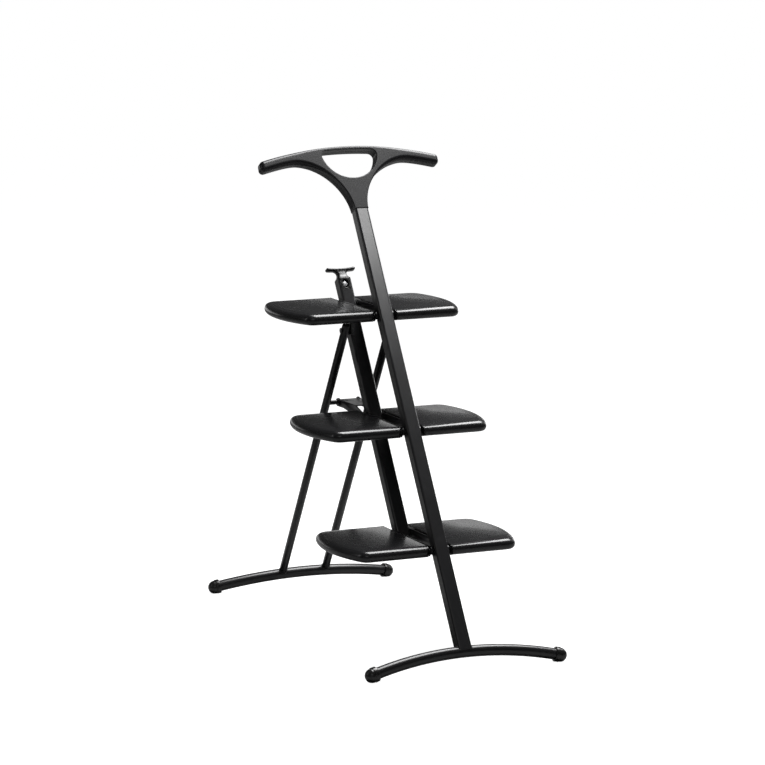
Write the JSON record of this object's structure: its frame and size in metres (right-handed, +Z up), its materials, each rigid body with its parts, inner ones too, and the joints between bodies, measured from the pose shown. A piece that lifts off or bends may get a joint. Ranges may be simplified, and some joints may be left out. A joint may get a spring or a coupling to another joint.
{
  "type": "library_ladder",
  "caption": "Folding library ladder with split treads on two parallel rails, a tee handle with a hand hole, a pull grip and an arched rear leg frame",
  "frame": {"origin": "On the floor, midway between the front and rear foot lines, in the plane of symmetry", "axes": "+X to the ladder's right seen from the front, +Y to the back, +Z up"},
  "size_m": [0.471, 0.9353, 1.0613],
  "materials": {
    "steel_paint": "semi-gloss black paint",
    "handle_plastic": "satin black moulding",
    "cap_plastic": "satin black moulding",
    "tread_moulding": "finely textured matte dark grey top, glossy edge",
    "bright_steel": "zinc plated",
    "bush_nylon": "matte black"
  },
  "bodies": {
    "front_frame": {"front_rail": "steel_paint", "front_foot_tube": "steel_paint", "front_foot_cap_left": "cap_plastic", "front_foot_cap_right": "cap_plastic", "handle_front": "handle_plastic", "handle_rear": "handle_plastic", "handle_core": "bright_steel", "handle_screws": "bright_steel", "front_bushes": "bush_nylon"},
    "inner_rail": {"inner_rail": "steel_paint", "inner_rail_plug": "cap_plastic", "pull_grip": "cap_plastic", "grip_screw": "bright_steel", "inner_bushes": "bush_nylon"},
    "tread_1": {"tread_1_left": "tread_moulding", "tread_1_right": "tread_moulding", "tread_1_arms": "steel_paint", "tread_1_screws": "bright_steel", "tread_1_front_pin": "steel_paint", "tread_1_rear_pin": "steel_paint"},
    "tread_2": {"tread_2_left": "tread_moulding", "tread_2_right": "tread_moulding", "tread_2_arms": "steel_paint", "tread_2_screws": "bright_steel", "tread_2_front_pin": "steel_paint", "tread_2_rear_pin": "steel_paint"},
    "tread_3": {"tread_3_left": "tread_moulding", "tread_3_right": "tread_moulding", "tread_3_arms": "steel_paint", "tread_3_screws": "bright_steel", "tread_3_front_pin": "steel_paint", "tread_3_rear_pin": "steel_paint", "leg_brackets": "steel_paint", "leg_hinge_bolts": "steel_paint"},
    "rear_legs": {"rear_leg_left": "steel_paint", "rear_leg_right": "steel_paint", "rear_leg_plugs": "cap_plastic", "crossbar": "steel_paint", "rear_foot_tube": "steel_paint", "rear_foot_cap_left": "cap_plastic", "rear_foot_cap_right": "cap_plastic", "stay_washers": "steel_paint"},
    "stay": {"stay": "steel_paint"}
  },
  "joints": [
    {"name": "tread_2_fold", "type": "hinge", "parent": "front_frame", "child": "tread_2", "pos_m": [0, -0.16454, 0.47], "axis": [1, 0, 0], "range_deg": [0, 52]},
    {"name": "tread_1_fold", "type": "hinge", "parent": "front_frame", "child": "tread_1", "pos_m": [0, -0.3094, 0.235], "axis": [1, 0, 0], "range_deg": [0, 52]},
    {"name": "tread_3_fold", "type": "hinge", "parent": "front_frame", "child": "tread_3", "pos_m": [0, -0.01969, 0.705], "axis": [1, 0, 0], "range_deg": [0, 52]},
    {"name": "inner_rail_swing", "type": "hinge", "parent": "tread_2", "child": "inner_rail", "pos_m": [0, 0.02471, 0.47], "axis": [1, 0, 0], "range_deg": [-52, 0]},
    {"name": "rear_leg_fold", "type": "hinge", "parent": "tread_3", "child": "rear_legs", "pos_m": [0, 0.06751, 0.662], "axis": [1, 0, 0], "range_deg": [-113, 0]},
    {"name": "stay_drop", "type": "hinge", "parent": "rear_legs", "child": "stay", "pos_m": [0, 0.17417, 0.482], "axis": [1, 0, 0], "range_deg": [0, 116]}
  ],
  "couplings": [
    {"joint": "tread_1_fold", "follows": "tread_3_fold", "ratio": 1},
    {"joint": "tread_2_fold", "follows": "tread_3_fold", "ratio": 1},
    {"joint": "inner_rail_swing", "follows": "tread_3_fold", "ratio": -1},
    {"joint": "rear_leg_fold", "follows": "tread_3_fold", "ratio": -2.1731},
    {"joint": "stay_drop", "follows": "tread_3_fold", "ratio": 2.2308}
  ]
}
